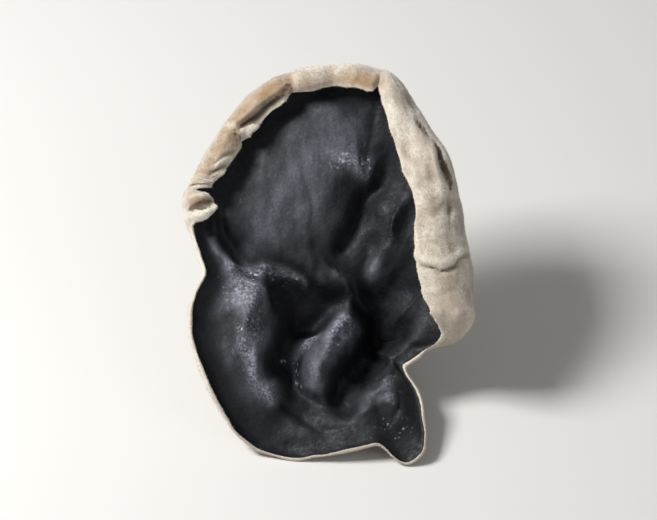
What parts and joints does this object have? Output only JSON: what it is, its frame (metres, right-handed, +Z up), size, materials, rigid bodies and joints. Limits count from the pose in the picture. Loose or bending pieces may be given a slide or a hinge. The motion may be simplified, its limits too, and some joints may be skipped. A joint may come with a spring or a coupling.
{
  "type": "dried wood ear mushroom",
  "caption": "Dried wood ear mushroom: a thin cupped cap, black and folded inside, felted outside, its rim curled over, lying on its cut foot and lower rim.",
  "frame": {"origin": "on the surface that the mushroom lies on, under the middle of its bounding box", "axes": "+Z up from that surface; the black face looks towards -Y and up, 35 degrees tipped from level; +X to the right as seen from -Y"},
  "size_m": [0.0498, 0.0522, 0.0472],
  "materials": {
    "felted_back": "short dry felt, beige to taupe grey, matt, with brown specks",
    "black_face": "dry charcoal-black skin with a bluish cast and a faint satin sheen"
  },
  "bodies": {
    "root": {"wood_ear": "felted_back"}
  },
  "joints": []
}
